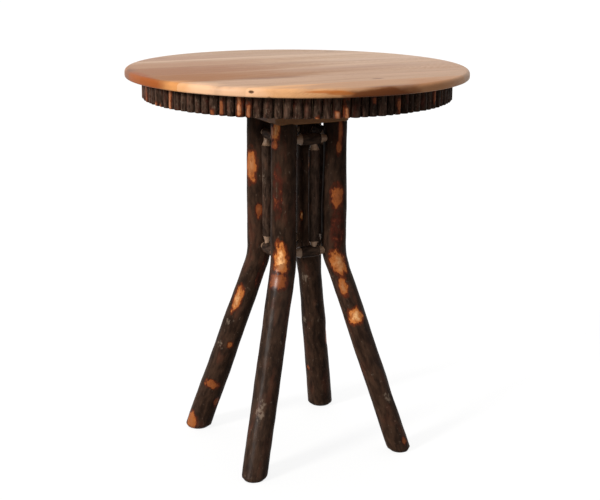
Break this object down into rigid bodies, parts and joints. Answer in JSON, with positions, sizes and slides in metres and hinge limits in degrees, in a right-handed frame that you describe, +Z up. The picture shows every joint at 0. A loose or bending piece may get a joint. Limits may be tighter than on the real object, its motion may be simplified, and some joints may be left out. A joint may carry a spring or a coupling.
{
  "type": "rustic hickory table",
  "caption": "Round bar-height table: plank top with a split-twig apron on a column of bent bark-on poles that splay outward to the floor, tied together by rungs and spindles.",
  "frame": {"origin": "on the floor below the middle of the round top", "axes": "+Z up; X along the boards of the top; the posts of the column stand at the four diagonals between X and Y"},
  "size_m": [0.9144, 0.9144, 1.0668],
  "materials": {
    "boards": "satin lacquer on hickory",
    "cap_wood": "satin lacquer on hickory",
    "inner_wood": "bare sawn hardwood",
    "bark_pole": "lacquered hickory bark with peeled amber patches",
    "bark_stick": "lacquered hickory bark with pale shaved ends",
    "twig": "lacquered split hickory twigs with bark",
    "zinc_steel": "zinc plated",
    "nail_steel": "bright drawn steel"
  },
  "bodies": {
    "root": {"top_board_1": "boards", "apron_twigs_1": "twig", "apron_ring_1": "inner_wood", "top_board_2": "boards", "apron_twigs_2": "twig", "apron_ring_2": "inner_wood", "top_board_3": "boards", "apron_twigs_3": "twig", "apron_ring_3": "inner_wood", "top_board_4": "boards", "apron_twigs_4": "twig", "apron_ring_4": "inner_wood", "top_board_5": "boards", "apron_twigs_5": "twig", "apron_ring_5": "inner_wood", "top_board_6": "boards", "apron_twigs_6": "twig", "apron_ring_6": "inner_wood", "post_front_left": "bark_pole", "post_front_right": "bark_pole", "post_back_left": "bark_pole", "post_back_right": "bark_pole", "upper_rung_front": "bark_stick", "lower_rung_front": "bark_stick", "spindle_front": "bark_stick", "upper_rung_right": "bark_stick", "lower_rung_right": "bark_stick", "spindle_right": "bark_stick", "upper_rung_back": "bark_stick", "lower_rung_back": "bark_stick", "spindle_back": "bark_stick", "upper_rung_left": "bark_stick", "lower_rung_left": "bark_stick", "spindle_left": "bark_stick", "cap_board": "cap_wood", "bearer_x": "inner_wood", "bearer_y": "inner_wood", "apron_blocks": "inner_wood", "post_lags": "zinc_steel", "lag_washers": "zinc_steel", "cap_screws": "zinc_steel", "bearer_screws": "zinc_steel", "block_screws": "zinc_steel", "tenon_nails": "nail_steel", "twig_brads": "nail_steel"}
  },
  "joints": []
}
